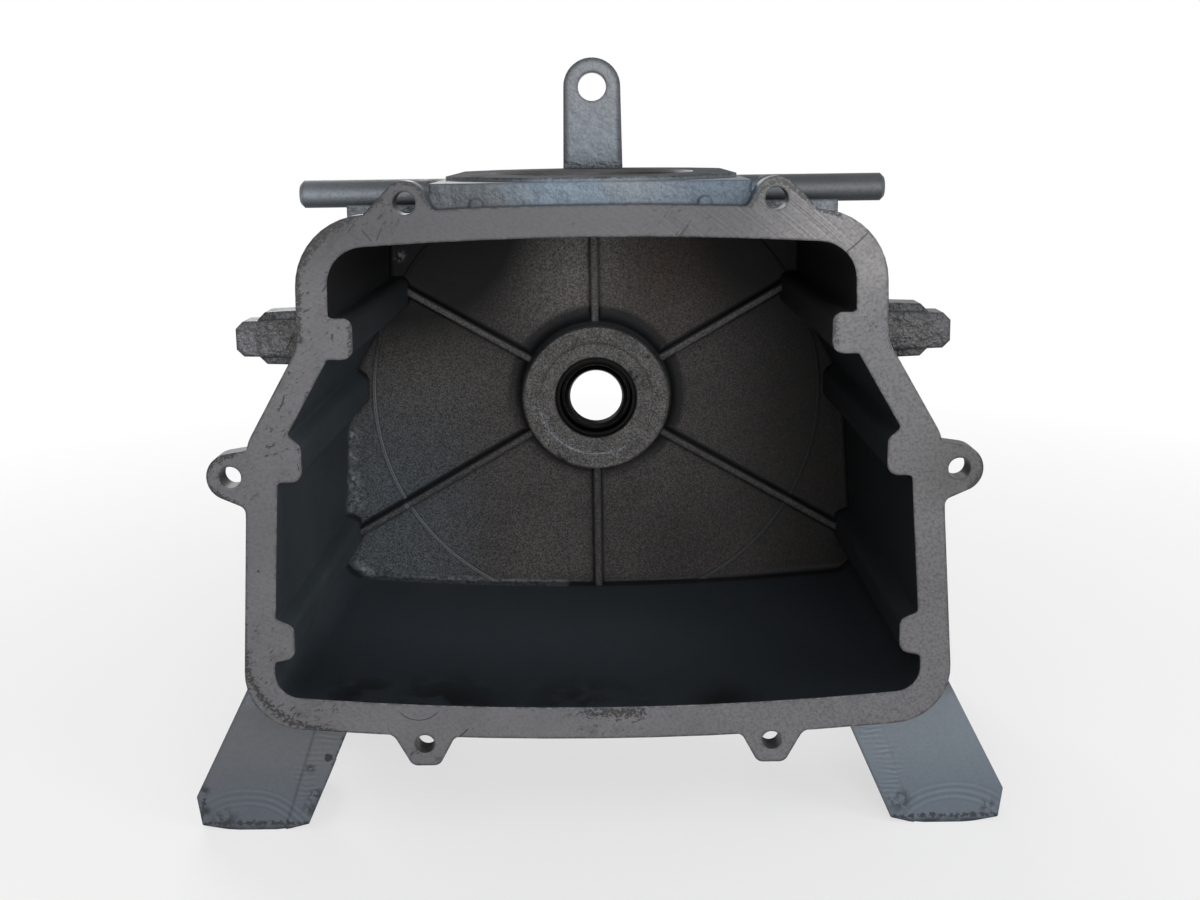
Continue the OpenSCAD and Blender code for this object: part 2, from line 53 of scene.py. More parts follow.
# The view from the open front, a little above the crank axis.
# The crankcase's front face is 182 mm in front of the frame's origin, and the lens
# stands 547 mm in front of that face. The shift keeps the whole casting in the frame.
mm = 0.001
front_y = -0.1823
camera_x, camera_back, camera_z = 5.88 * mm, 547 * mm, 149.53 * mm
camera_pitch, camera_yaw, camera_roll = 8.938, -0.252, 0.787
camera_focal, camera_rise = 37.2, 120 / 1200

camera = bpy.data.objects.new("camera", bpy.data.cameras.new("camera"))
bpy.context.scene.collection.objects.link(camera)
pitch, yaw, roll = (math.radians(a) for a in (camera_pitch, camera_yaw, camera_roll))
look = Vector((math.sin(yaw) * math.cos(pitch), math.cos(yaw) * math.cos(pitch), -math.sin(pitch)))
right = Vector((math.cos(yaw), -math.sin(yaw), 0))
up = right.cross(look)
tilted_right = right * math.cos(roll) - up * math.sin(roll)
tilted_up = right * math.sin(roll) + up * math.cos(roll)
turn = Matrix((tilted_right, tilted_up, -look)).transposed().to_4x4()
camera.matrix_world = Matrix.Translation((camera_x, front_y - camera_back, camera_z)) @ turn
camera.data.lens = camera_focal
camera.data.sensor_width = 36
camera.data.shift_y = -camera_rise
camera.data.clip_start = 0.01
bpy.context.scene.camera = camera
bpy.context.scene.view_settings.view_transform = "Standard"

# The floor under the feet and the room round the casting.
# Both are white to the lens. The floor keeps the casting's soft shadow near its feet, and
# throws back little light, because the photographed casting has dark undersides.
floor_half = 12
floor_pale, floor_bounce = "#fbfbfb", "#6d6d6d"
glow_near, glow_far, glow_least = 0.25, 0.9, 0.62
room_pale, room_light = "#ffffff", 0.14


def linear(code):
    """An sRGB hex colour as the linear colour that a socket takes."""
    parts = [int(code[i:i + 2], 16) / 255 for i in (1, 3, 5)]
    return tuple(c / 12.92 if c <= 0.04045 else ((c + 0.055) / 1.055) ** 2.4 for c in parts) + (1,)


def add(tree, kind, inputs=None, stops=(), **settings):
    """Adds a node with its settings, a ramp's stops and its links. Inputs take plain values or
    the sockets that feed them, and a stop is a place with an sRGB hex or a plain share."""
    new = tree.nodes.new(kind)
    for name, value in settings.items():
        setattr(new, name, value)
    for i, (place, shade) in enumerate(stops):
        line = new.color_ramp.elements
        stop = line[i] if i < 2 else line.new(place)
        stop.position = place
        stop.color = linear(shade) if isinstance(shade, str) else (shade,) * 3 + (1,)
    for name, value in (inputs or {}).items():
        if isinstance(value, bpy.types.NodeSocket):
            tree.links.new(value, new.inputs[name])
        else:
            new.inputs[name].default_value = value
    return new


def seen(tree):
    """1 for rays that show a thing to the lens, straight on, in gloss or through glass."""
    path = add(tree, "ShaderNodeLightPath")
    lens, gloss, glass = [
        path.outputs["Is " + name + " Ray"] for name in ("Camera", "Glossy", "Transmission")]
    either = add(tree, "ShaderNodeMath", {0: lens, 1: gloss}, operation="MAXIMUM").outputs[0]
    return add(tree, "ShaderNodeMath", {0: either, 1: glass}, operation="MAXIMUM").outputs[0]


floor_skin = bpy.data.materials.new("pale_floor")
floor_skin.use_nodes = True
tree = floor_skin.node_tree
tree.nodes.clear()
shown = seen(tree)
tone = add(tree, "ShaderNodeMix", {0: shown, 6: linear(floor_bounce), 7: linear(floor_pale)},
           data_type="RGBA")
matt = add(tree, "ShaderNodeBsdfDiffuse", {"Color": tone.outputs[2]})
glow = add(tree, "ShaderNodeEmission", {"Color": linear(room_pale)})
where = add(tree, "ShaderNodeTexCoord").outputs["Object"]
out_there = add(tree, "ShaderNodeVectorMath", {0: where}, operation="LENGTH").outputs["Value"]
share = add(tree, "ShaderNodeMapRange", {0: out_there, 1: glow_near, 2: glow_far, 3: glow_least, 4: 1.0})
share = add(tree, "ShaderNodeMath", {0: share.outputs[0], 1: shown}, operation="MULTIPLY")
both = add(tree, "ShaderNodeMixShader", {0: share.outputs[0], 1: matt.outputs[0], 2: glow.outputs[0]})
add(tree, "ShaderNodeOutputMaterial", {"Surface": both.outputs[0]})

ground_z = cad_box[0][2]
floor_mesh = bpy.data.meshes.new("floor")
corners = [(-floor_half, -floor_half), (floor_half, -floor_half), (floor_half, floor_half),
           (-floor_half, floor_half)]
floor_mesh.from_pydata([(x, y, ground_z) for x, y in corners], [], [(0, 1, 2, 3)])
floor_mesh.materials.append(floor_skin)
floor = bpy.data.objects.new("floor", floor_mesh)
bpy.context.scene.collection.objects.link(floor)

world = bpy.data.worlds.new("pale_room")
bpy.context.scene.world = world
world.use_nodes = True
tree = world.node_tree
tree.nodes.clear()
shade = add(tree, "ShaderNodeMix", {0: seen(tree), 6: (room_light,) * 3 + (1,), 7: linear(room_pale)},
            data_type="RGBA")
sky = add(tree, "ShaderNodeBackground", {"Color": shade.outputs[2]})
add(tree, "ShaderNodeOutputWorld", {"Surface": sky.outputs[0]})

# Four soft lamps. The first stands in front at the height of the open case, a little to
# the right, and reaches its rear wall. One hangs high, one lifts the flange's right side,
# and one lights the casting from behind for the other views.
lamps = [
    ("front_lamp", (0.3, -2.0, 0.28), (0, -0.1, 0), 1.0, 24),
    ("high_lamp", (-0.4, -1.1, 1.6), (0, -0.1, 0.02), 1.2, 5),
    ("right_lamp", (1.25, -1.0, 0.5), (0.1, -0.12, 0), 0.7, 6),
    ("back_lamp", (-0.7, 1.6, 1.1), (0, 0, 0), 1.4, 20),
]
for name, place, aim, wide, watts in lamps:
    lamp = bpy.data.objects.new(name, bpy.data.lights.new(name, "AREA"))
    bpy.context.scene.collection.objects.link(lamp)
    lamp.data.size = wide
    lamp.data.energy = watts
    lamp.matrix_world = (Matrix.Translation(place)
                         @ (Vector(aim) - Vector(place)).to_track_quat("-Z", "Y").to_matrix().to_4x4())

# The crankcase is one sand casting in grey iron. The mould leaves a sandy skin outside and
# inside. The front flange, the cylinder pad and the soles are milled, the holes and the
# bearing seat are bored, and oil and painted shade darken the inside.
deck_z = 131 * mm
cylinder_y, cylinder_r = -94.3 * mm, 50 * mm
rear_wall_y, hub_y, back_y = -16.3 * mm, -30.3 * mm, 12.7 * mm


def new_skin(name, shader_inputs):
    """A new material with a shader and its output."""
    skin = bpy.data.materials.new(name)
    skin.use_nodes = True
    skin.node_tree.nodes.clear()
    shader = add(skin.node_tree, "ShaderNodeBsdfPrincipled", shader_inputs)
    add(skin.node_tree, "ShaderNodeOutputMaterial", {"Surface": shader.outputs[0]})
    return skin, skin.node_tree, shader


def dyed(tree, shade):
    """The colour or share for an sRGB hex, a socket, a number, or a value with its stops."""
    if isinstance(shade, tuple):
        return add(tree, "ShaderNodeValToRGB", {0: shade[0]}, stops=shade[1]).outputs[0]
    return linear(shade) if isinstance(shade, str) else shade


def portion(tree, *parts, how="MULTIPLY"):
    """How strongly a thing shows, from 0 to 1: the product of its parts, or the largest one.
    A part is a number or a socket. A part (value, start, end) goes smoothly from 0 at start to
    1 at end, or between a low and a high that follow. A part (value, stops) is read off a ramp."""
    whole = None
    for part in parts:
        if isinstance(part, tuple) and len(part) > 2:
            part = add(tree, "ShaderNodeMapRange", dict(enumerate(part)),
                       interpolation_type="SMOOTHSTEP").outputs[0]
        part = dyed(tree, part)
        if whole is not None:
            part = add(tree, "ShaderNodeMath", {0: whole, 1: part}, operation=how).outputs[0]
        whole = part
    return whole


def layered(tree, base, *coats):
    """A colour with coats laid over it. A coat has its share, its colour and, unless it
    covers plainly, how it is laid on."""
    base = dyed(tree, base)
    for share, shade, *how in coats:
        inputs = {0: portion(tree, share), 6: base, 7: dyed(tree, shade)}
        base = add(tree, "ShaderNodeMix", inputs, data_type="RGBA",
                   blend_type=how[0] if how else "MIX").outputs[2]
    return base


def mottle(tree, where, size, stops, detail=3, rough=0.6):
    """Patches of about that size, in metres, as shares or colours off the stops."""
    cloudy = add(tree, "ShaderNodeTexNoise", {
        "Vector": where, "Scale": 0.5 / size, "Detail": detail, "Roughness": rough}).outputs[0]
    return dyed(tree, (cloudy, stops))


def near(tree, where, spots):
    """1 at each spot, falling to 0 at its radius. Spots are x, y, z and radius in millimetres."""
    parts = []
    for x, y, z, r in spots:
        apart = add(tree, "ShaderNodeVectorMath", {0: where, 1: (x * mm, y * mm, z * mm)},
                    operation="DISTANCE").outputs["Value"]
        parts.append((apart, 0.0, r * mm, 1.0, 0.0))
    return portion(tree, *parts, how="MAXIMUM")


def along(tree, where, lines):
    """1 on straight lines in the x-z plane, falling to 0 at their reach. Each has the x and z
    of both ends and its reach, in millimetres."""
    parts = []
    for x0, z0, x1, z1, reach in lines:
        way = Vector((x1 - x0, 0, z1 - z0)) * mm
        gone = add(tree, "ShaderNodeVectorMath", {0: where, 1: Vector((x0, 0, z0)) * mm},
                   operation="SUBTRACT").outputs[0]
        done = add(tree, "ShaderNodeVectorMath", {0: gone, 1: way / way.length_squared},
                   operation="DOT_PRODUCT").outputs["Value"]
        done = add(tree, "ShaderNodeMath", {0: done, 1: 0.0}, operation="ADD", use_clamp=True).outputs[0]
        foot = add(tree, "ShaderNodeVectorMath", {0: way, "Scale": done}, operation="SCALE").outputs[0]
        off = add(tree, "ShaderNodeVectorMath", {0: gone, 1: foot}, operation="DISTANCE").outputs["Value"]
        parts.append((off, 0.0, reach * mm, 1.0, 0.0))
    return portion(tree, *parts, how="MAXIMUM")


def edge_share(tree, radius):
    """1 on a sharp edge, falling to 0 about that radius away from it."""
    soft = add(tree, "ShaderNodeBevel", {"Radius": radius}, samples=6).outputs[0]
    true = add(tree, "ShaderNodeNewGeometry").outputs["True Normal"]
    agreed = add(tree, "ShaderNodeVectorMath", {0: soft, 1: true}, operation="DOT_PRODUCT").outputs["Value"]
    return portion(tree, (agreed, 0.99, 0.8))


# Sand-cast iron as it comes from the mould: a matt blue-grey skin with a fine grain and
# broad clouds, lighter on the tongue, rough and dark on the side lugs, smooth on the feet.
# The real grains of sand, of about 0.3 mm, would not show, so they are drawn coarser.
sand_size, lump_size, cloud_size = 0.7 * mm, 4 * mm, 30 * mm
fold_size, crumb_size, flake_size = 6 * mm, 0.9 * mm, 1 * mm

# Each pair is where a part of the casting begins, and where it is fully reached.
tongue_foot, tongue_rise, tongue_rim = (129 * mm, 133 * mm), (145 * mm, 180 * mm), (12.4 * mm, 15.2 * mm)
bar_side, bar_skin = (84 * mm, 90 * mm), (8.2 * mm, 7.4 * mm)
deck_side, deck_low, deck_high = (88 * mm, 80 * mm), (104 * mm, 108 * mm), (130.8 * mm, 129.6 * mm)
lug_side, lug_low, lug_high = (125 * mm, 135 * mm), (38 * mm, 43 * mm), (78 * mm, 73 * mm)
leg_top, foot_rise, sole = (-112 * mm, -122 * mm), (-130 * mm, -175 * mm), (-178.5 * mm, -181.2 * mm)
bar_z, tongue_z = 121.7 * mm, 176.5 * mm
ripple_pitch, wave_pitch = 2.6 * mm, 3.4 * mm
wave_x, wave_z, wave_in, wave_out = 171 * mm, -198.3 * mm, (29 * mm, 32 * mm), (41.5 * mm, 38.5 * mm)

outside, tree, shader = new_skin("raw_sand_cast_iron", {"Metallic": 0.15})
where = add(tree, "ShaderNodeTexCoord").outputs["Object"]
place = add(tree, "ShaderNodeSeparateXYZ", {0: where}).outputs
aside = add(tree, "ShaderNodeMath", {0: place["X"]}, operation="ABSOLUTE").outputs[0]
front_spot = add(tree, "ShaderNodeCombineXYZ", {"X": place["X"], "Z": place["Z"]}).outputs[0]
side_spot = add(tree, "ShaderNodeCombineXYZ", {"X": aside, "Z": place["Z"]}).outputs[0]
bar_spot = add(tree, "ShaderNodeCombineXYZ", {"Y": place["Y"], "Z": place["Z"]}).outputs[0]
normal = add(tree, "ShaderNodeNewGeometry").outputs["Normal"]
facing = add(tree, "ShaderNodeSeparateXYZ", {0: normal}).outputs["Z"]
sand, lumps, cloud, fold, crumbs, flakes = [
    add(tree, "ShaderNodeTexNoise", {
        "Vector": where, "Scale": 0.5 / size, "Detail": detail, "Roughness": rough}).outputs[0]
    for size, detail, rough in (
        (sand_size, 3, 0.6), (lump_size, 4, 0.6), (cloud_size, 3, 0.6), (fold_size, 3, 0.6),
        (crumb_size, 5, 0.6), (flake_size, 6, 0.7))]
skin_tint = layered(tree, (cloud, [(0.35, "#5f6972"), (0.5, "#70757a"), (0.65, "#80878d")]))

# The tongue, the two bars, the deck's front, the legs and the lugs differ in tint.
tongue_tint = layered(tree, "#7d8993", ((place["Z"], *tongue_rise), "#8a8c90"), (0.45, skin_tint))
off_bar = add(tree, "ShaderNodeVectorMath", {0: bar_spot, 1: (0, cylinder_y, bar_z)},
              operation="DISTANCE").outputs["Value"]
bar_share = portion(tree, (aside, *bar_side), (off_bar, *bar_skin))
bar_tint = layered(tree, "#979fa7", ((place["X"], -50 * mm, 50 * mm), "#5d6165"))
deck_share = portion(tree, (aside, *deck_side), (place["Z"], *deck_low), (place["Z"], *deck_high))
deck_ends = layered(tree, "#464c51", ((place["X"], -50 * mm, 50 * mm), "#506171"))
deck_tint = layered(tree, mottle(tree, where, 13 * mm, [(0.4, "#7c8187"), (0.6, "#6e7f8e")]),
                    ((aside, 15 * mm, 55 * mm), deck_ends))
leg_share = portion(tree, (place["Z"], *leg_top))
leg_tint = layered(tree, "#606266", ((place["X"], -100 * mm, 100 * mm), "#6e7780"),
                   (portion(tree, (place["Z"], *foot_rise), 0.6), "#515b66"))
lug_share = portion(tree, (aside, *lug_side), (place["Z"], *lug_low), (place["Z"], *lug_high))
lug_tint = layered(tree, (lumps, [(0.35, "#404041"), (0.65, "#616163")]),
                   ((aside, 155 * mm, 157 * mm), "#66666a"),
                   ((place["X"], 0.0, 100 * mm, 0.0, 0.5), "#2a2a2b"))
speck = layered(tree, (sand, [(0.3, "#8a8a8a"), (0.6, "#ffffff")]))
speck_share = portion(tree, (leg_share, 0.0, 1.0, 0.4, 0.15), portion(tree, lug_share, 0.9),
                      how="MAXIMUM")

# Dust darkens what looks up, with painted shade on the bars' tops. Painted shade darkens what looks down,
# the hollows, the creases and the tongue's rim and foot, and dirt and oil the rims.
upward = add(tree, "ShaderNodeMath", {0: facing, 1: portion(tree, bar_share, 0.3)},
             operation="ADD").outputs[0]
# Dust on what looks up, with painted shade on the tops of the two bars.
dust_and_top_shade = portion(tree, (upward, 0.1, 0.85), (cloud, [(0.35, 0.65), (0.6, 0.85)]))
# Painted shade on what looks down.
painted_under_shade = portion(tree, (facing, 0.0, -0.8), 0.75)
# Painted shade in the hollows, from ambient occlusion, weaker on the legs and the deck.
open_share = add(tree, "ShaderNodeAmbientOcclusion", {"Distance": 11 * mm}, samples=6).outputs["AO"]
painted_hollow_shade = portion(tree, (open_share, 0.9, 0.4), (leg_share, 0.0, 1.0, 1.0, 0.05),
                 (deck_share, 0.0, 1.0, 1.0, 0.3))
smooth_share = portion(tree, leg_share, deck_share, how="MAXIMUM")
# Dirt on the rims, and painted shade where an edge is a crease.
rim_dirt_and_crease_shade = portion(tree, edge_share(tree, 4 * mm),
                   mottle(tree, where, 2.5 * mm, [(0.4, 0.3), (0.6, 0.8)]),
                   (smooth_share, 0.0, 1.0, 1.0, 0.1))
# Painted shade round the tongue's rim and along its foot.
above = add(tree, "ShaderNodeMath", {0: place["Z"], 1: tongue_z}, operation="SUBTRACT").outputs[0]
above = add(tree, "ShaderNodeMath", {0: above, 1: 0.0}, operation="MAXIMUM").outputs[0]
tongue_out = add(tree, "ShaderNodeCombineXYZ", {"X": aside, "Z": above}).outputs[0]
tongue_out = add(tree, "ShaderNodeVectorMath", {0: tongue_out}, operation="LENGTH").outputs["Value"]
tongue_rim_shade = portion(tree, (tongue_out, *tongue_rim), (place["Z"], 132 * mm, 136 * mm, 0.0, 0.8))
rim_dirt_and_crease_shade = portion(tree, rim_dirt_and_crease_shade, tongue_rim_shade, how="MAXIMUM")

# Stains and a sand hole on the feet, and dirt along their lower edges.
sole_dirt = portion(tree, (place["Z"], *sole),
                    mottle(tree, where, 4 * mm, [(0.35, 0.3), (0.55, 0.95)]))
stained_spots = near(tree, front_spot, [
    (-182, 0, -178, 10), (-191, 0, -172, 4), (-191, 0, -161, 4), (-137, 0, -164, 7),
    (-140, 0, -171, 6), (-139, 0, -150, 4), (145, 0, -170, 9), (136, 0, -179, 7),
    (188, 0, -174, 6)])
stains = portion(tree, stained_spots,
                 mottle(tree, where, 1.8 * mm, [(0.44, 0.0), (0.52, 0.9)], detail=5))
pit = portion(tree, near(tree, front_spot, [(-130, 0, -144.5, 5)]), crumbs)
pit = portion(tree, (pit, [(0.29, 0.0), (0.34, 1.0)]))
foot_edge = along(tree, front_spot, [
    (-121.6, -133.3, -138, -175, 2.4), (-193, -178.5, -141, -178.5, 3.5),
    (-191.5, -166, -193.5, -178, 2.2), (141, -178.5, 193, -178.5, 3.5)])
foot_edge = add(tree, "ShaderNodeMath", {0: portion(tree, foot_edge, 0.3), 1: flakes},
                operation="ADD").outputs[0]
foot_edge = portion(tree, (foot_edge, [(0.73, 0.0), (0.79, 0.85)]), leg_share)
stains = portion(tree, sole_dirt, stains, pit, foot_edge, how="MAXIMUM")
tint = layered(tree, skin_tint,
               ((place["Z"], *tongue_foot), tongue_tint),
               (portion(tree, bar_share, 0.85), bar_tint),
               (portion(tree, deck_share, 0.85), deck_tint),
               (leg_share, leg_tint),
               (lug_share, lug_tint),
               (speck_share, speck, "MULTIPLY"),
               (dust_and_top_shade, "#2f3236"),
               (painted_under_shade, "#25282b"),
               (painted_hollow_shade, "#202327"),
               (rim_dirt_and_crease_shade, "#1c2126"),
               (stains, "#16191c"))
tree.links.new(tint, shader.inputs["Base Color"])

# The lumps are deep on the lugs, less so on the deck and the tongue, and flat on the legs.
rough_share = portion(tree, (place["Z"], 90 * mm, 105 * mm), (place["Z"], 136 * mm, 131 * mm, 0.35, 1.0))
rough_share = portion(tree, rough_share, lug_share, how="MAXIMUM")
rough_share = portion(tree, rough_share, (portion(tree, bar_share, 0.85), 0.0, 1.0, 1.0, 0.1),
                      (deck_share, 0.0, 1.0, 1.0, 0.42))
tree.links.new(portion(tree, (rough_share, 0.0, 1.0, 0.55, 0.42)), shader.inputs["Roughness"])
rounded = add(tree, "ShaderNodeBevel", {"Radius": 2.2 * mm}, samples=6).outputs[0]
coarse = add(tree, "ShaderNodeBump", {
    "Height": lumps, "Strength": portion(tree, (rough_share, 0.0, 1.0, 0.03, 1.0)),
    "Distance": 4.5 * mm, "Normal": rounded}).outputs[0]

# Metal that ran cold left folds by the inner edges of the legs and arcs on the feet.
ripple = add(tree, "ShaderNodeMath", {0: place["Z"], 1: portion(tree, fold, 5 * mm)},
             operation="ADD").outputs[0]
ripple = add(tree, "ShaderNodeMath", {0: portion(tree, ripple, math.tau / ripple_pitch)},
             operation="SINE").outputs[0]
ripple = portion(tree, ripple, near(tree, side_spot, [
    (131, 0, -134, 10), (137, 0, -144, 9), (142, 0, -154, 9), (141, 0, -163, 9)]))
flow = add(tree, "ShaderNodeVectorMath", {0: side_spot, 1: (wave_x, 0, wave_z)},
           operation="DISTANCE").outputs["Value"]
flow = add(tree, "ShaderNodeMath", {0: flow, 1: portion(tree, cloud, 4 * mm)},
           operation="ADD").outputs[0]
waves = add(tree, "ShaderNodeMath", {0: portion(tree, flow, math.tau / wave_pitch)},
            operation="SINE").outputs[0]
waves = portion(tree, waves, (flow, *wave_in), (flow, *wave_out))
run = add(tree, "ShaderNodeMath", {0: waves, 1: ripple}, operation="ADD").outputs[0]
flowed = add(tree, "ShaderNodeBump", {
    "Height": run, "Strength": 0.35, "Distance": 0.25 * mm, "Normal": coarse}).outputs[0]
sandy = add(tree, "ShaderNodeBump", {
    "Height": sand, "Strength": portion(tree, (leg_share, 0.0, 1.0, 0.8, 0.25)),
    "Distance": 0.2 * mm, "Normal": flowed}).outputs[0]
tree.links.new(sandy, shader.inputs["Normal"])

# The same skin inside, wet with old oil: sandy and dark brown-grey on the rear wall, with a
# painted pool of light at the top of its middle and painted shade towards its right side and its
# upper corners, and blue-black on the walls and the floor where the oil stood. The crests of the ribs carry
# a painted highlight, and the hub's face is lighter.

# Here too the sand is drawn as coarse as it needs to show.
inner_sand = 0.5 * mm
hub_edge, seal_edge = (43.2 * mm, 42.5 * mm), (24.1 * mm, 23.6 * mm)
cove_ring_in, cove_ring_out = (42.5 * mm, 43.5 * mm), (53.5 * mm, 49.5 * mm)
step_wide, step_thin, line_wide = (30.4 * mm, 35.4 * mm), (30.4 * mm, 32.8 * mm), (126.5 * mm, 133.5 * mm)
wall_y = (rear_wall_y - 8.5 * mm, rear_wall_y - 7.2 * mm)
crest_y = (rear_wall_y - 5.5 * mm, rear_wall_y - 6.8 * mm)

inside, tree, shader = new_skin("oiled_sand_cast_iron", {"Roughness": 0.5, "Specular IOR Level": 0.2})
where = add(tree, "ShaderNodeTexCoord").outputs["Object"]
place = add(tree, "ShaderNodeSeparateXYZ", {0: where}).outputs
front_spot = add(tree, "ShaderNodeCombineXYZ", {"X": place["X"], "Z": place["Z"]}).outputs[0]
reach = add(tree, "ShaderNodeVectorMath", {0: front_spot}, operation="LENGTH").outputs["Value"]
normal = add(tree, "ShaderNodeNewGeometry").outputs["Normal"]
facing = add(tree, "ShaderNodeSeparateXYZ", {0: normal}).outputs["Z"]
sand, lumps, cloud = [
    add(tree, "ShaderNodeTexNoise", {
        "Vector": where, "Scale": 0.5 / size, "Detail": detail, "Roughness": rough}).outputs[0]
    for size, detail, rough in (
        (inner_sand, 5, 0.85), (lump_size, 4, 0.6), (cloud_size, 3, 0.6))]

# The rear wall's lighter and darker places, with its painted light and shade, its corners in painted
# shadow, the hub with oil and painted shade round its foot, nicks, the step in the hub's face with its
# painted highlight and shade, and the ribs' crests with a painted highlight.
# Painted shadow of the roof in the rear wall's upper corners.
corners = near(tree, where, [(-108, -16, 108, 118), (112, -16, 104, 84)])
hub_share = portion(tree, (reach, *hub_edge))
hub_tint = layered(tree, (lumps, [(0.35, "#716f6e"), (0.65, "#8a8887")]))
# Oil and painted shade in the cove round the hub's foot, strongest above it and to its right.
cove_oil_and_shade = portion(tree, (reach, *cove_ring_in), (reach, *cove_ring_out),
              portion(tree, (place["Z"], -30 * mm, 30 * mm, 0.3, 0.85),
                      (place["X"], 20 * mm, 45 * mm, 0.3, 0.9), how="MAXIMUM"))
nicked_spots = near(tree, where, [
    (24, -30, 9.5, 7), (20, -30, 14, 4), (-21, -30, -37, 8), (30, -30, 24, 3), (106, -16, 7.6, 4)])
nicks = portion(tree, nicked_spots,
                mottle(tree, where, 1.6 * mm, [(0.48, 0.0), (0.54, 0.9)], detail=4))
# The step's edge: a painted highlight on its lower left and painted shade along its top.
across_step = portion(tree, (reach, *step_wide))
step_highlight = portion(tree, (across_step, [(0.15, 0.0), (0.5, 1.0), (0.85, 0.0)]),
                    (place["Z"], 4 * mm, -20 * mm), (place["X"], 34 * mm, -10 * mm, 0.2, 1.0),
                    mottle(tree, where, 2.5 * mm, [(0.35, 0.45), (0.55, 1.0)]))
across_step = portion(tree, (reach, *step_thin))
step_shade = portion(tree, (across_step, [(0.2, 0.0), (0.5, 1.0), (0.8, 0.0)]),
                    (place["Z"], -4 * mm, 12 * mm, 0.0, 0.6))
# A painted highlight on the ribs' crests, lighter towards the top.
crest_highlight = portion(tree, (place["Y"], *crest_y), (hub_share, 0.0, 1.0, 0.75, 0.0))
crest_highlight_tint = layered(tree, "#585757", ((place["Z"], -60 * mm, 50 * mm), "#7a7877"))
# A painted pool of light at the top of the wall's middle, and painted shade towards the right, at the upper
# left, the lower right and below the roof.
wall_tint = layered(tree, (cloud, [(0.35, "#555251"), (0.65, "#625f5e")]),
                    (near(tree, where, [(-22, -16, 84, 66)]), "#a39e9c"),
                    (near(tree, where, [(-100, -16, 20, 70)]), "#6c6967"),
                    (portion(tree, near(tree, where, [(46, -16, 72, 50)]), 0.8), "#5c4d44"),
                    (portion(tree, (place["X"], -50 * mm, -120 * mm),
                             (place["Z"], 30 * mm, -60 * mm)), "#5f666c"),
                    ((place["X"], 20 * mm, 130 * mm), "#292624"),
                    (portion(tree, near(tree, where, [(-92, -16, 80, 44)]), 0.5), "#141110"),
                    (portion(tree, near(tree, where, [(50, -16, -95, 60)]), 0.5), "#2c2a29"),
                    ((place["Z"], 86 * mm, 106 * mm, 0.0, 0.6), "#1d1a18"),
                    ((corners, [(0.0, 0.0), (0.45, 1.0)]), "#0d0a08"),
                    (hub_share, hub_tint),
                    (cove_oil_and_shade, "#141517"),
                    # Black at the seal's edge: oil and painted shade.
                    ((reach, *seal_edge), "#070708"),
                    (nicks, "#121213"),
                    (step_highlight, "#bcc5cd"),
                    (step_shade, "#242323"),
                    (crest_highlight, crest_highlight_tint))

# The side walls and the floor, with pools of old oil at the front, and painted shade towards the right and,
# on the side walls, towards the roof.
pool_spots = near(tree, where, [
    (-70, -182, -113, 45), (-110, -177, -110, 30), (-5, -182, -115, 40), (60, -179, -114, 26)])
pool = portion(tree, pool_spots, mottle(tree, where, 9 * mm, [(0.42, 0.0), (0.5, 1.0)]))
floor_tint = layered(tree, "#434b52",
                     ((place["Y"], -80 * mm, -170 * mm), "#2b3137"),
                     ((place["X"], 0.0, 130 * mm, 0.0, 0.6), "#202428"),
                     (pool, "#0f1011"))
# Painted shade towards the right and towards the roof.
side_tint = layered(tree, (cloud, [(0.35, "#3c4348"), (0.65, "#495157")]),
                    ((place["X"], -20 * mm, 120 * mm), "#2a2d30"),
                    ((place["Z"], 30 * mm, 90 * mm), "#262626"),
                    ((place["Z"], -100 * mm, -108 * mm), floor_tint))

# Sand over all of it, the double line that the mould left on the rear wall with a painted highlight on it,
# dirt and painted shade in corners and on ledges, and beads of rough sand along the wall's left and lower
# edges.
wall_share = portion(tree, (place["Y"], *wall_y), hub_share, how="MAXIMUM")
speck = layered(tree, (sand, [(0.36, "#3c3c3c"), (0.5, "#b4b4b4"), (0.62, "#ffffff")]))
across_line = portion(tree, (reach, *line_wide))
# The mould's double line, drawn as a painted highlight, strongest at its lower left.
seam_highlight = portion(tree, (across_line, [
    (0.3, 0.0), (0.36, 1.0), (0.42, 0.15), (0.58, 0.15), (0.64, 1.0), (0.7, 0.0)]),
                 (place["X"], 120 * mm, -100 * mm, 0.1, 0.8), (place["Z"], 30 * mm, 0.0), wall_share)
open_share = add(tree, "ShaderNodeAmbientOcclusion", {"Distance": 9 * mm}, samples=6).outputs["AO"]
# Dirt and painted shade on what looks up on the wall, and painted shade in the hollows from ambient
# occlusion.
settled_dirt_and_shade = portion(tree, portion(tree, (facing, 0.05, 0.5), 0.8, wall_share),
                  portion(tree, (open_share, 0.85, 0.4), 0.5), how="MAXIMUM")
beaded_spots = near(tree, where, [
    (-145, -17, -24, 8), (-146, -17, -36, 8), (-146, -17, -50, 9), (-147, -17, -64, 11),
    (-112, -17, 82, 5)])
bead = portion(tree, beaded_spots,
               mottle(tree, where, 1.4 * mm, [(0.42, 0.0), (0.56, 1.0)], detail=4))
sill = along(tree, front_spot, [
    (-144, -103, -134, -111.5, 4), (-134, -111.5, -66, -115.5, 5), (-66, -115.5, -20, -116.5, 3.5)])
sill = portion(tree, sill, wall_share,
               mottle(tree, where, 1.1 * mm, [(0.4, 0.15), (0.6, 0.9)], detail=4))
tint = layered(tree, side_tint,
               (wall_share, wall_tint),
               ((wall_share, 0.0, 1.0, 0.3, 1.0), speck, "MULTIPLY"),
               (seam_highlight, "#868c92"),
               (settled_dirt_and_shade, "#16181b"),
               (portion(tree, bead, sill, how="MAXIMUM"), "#7d8388"))
tree.links.new(tint, shader.inputs["Base Color"])
rounded = add(tree, "ShaderNodeBevel", {"Radius": 1.4 * mm}, samples=6).outputs[0]
